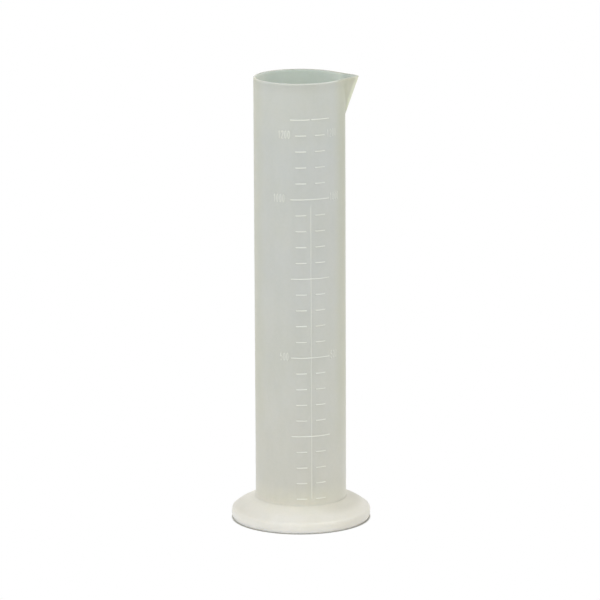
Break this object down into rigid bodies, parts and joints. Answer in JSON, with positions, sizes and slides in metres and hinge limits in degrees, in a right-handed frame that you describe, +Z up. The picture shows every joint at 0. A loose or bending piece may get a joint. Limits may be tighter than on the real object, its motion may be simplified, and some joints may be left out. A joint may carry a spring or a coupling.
{
  "type": "graduated measuring cylinder",
  "caption": "Tall straight measuring cylinder in milky plastic with a V spout, a raised millilitre scale and a round hollow foot.",
  "frame": {"origin": "on the tube's axis, on the plane that the foot stands on", "axes": "+Z up along the tube's axis, +X out through the spout's tip, and the scale faces -Y, turned 9 degrees towards +X"},
  "size_m": [0.1136, 0.1136, 0.3659],
  "materials": {
    "milky_polypropylene": "milky translucent polypropylene with a soft satin sheen, whiter in the foot"
  },
  "bodies": {
    "root": {"graduated_cylinder": "milky_polypropylene"}
  },
  "joints": []
}
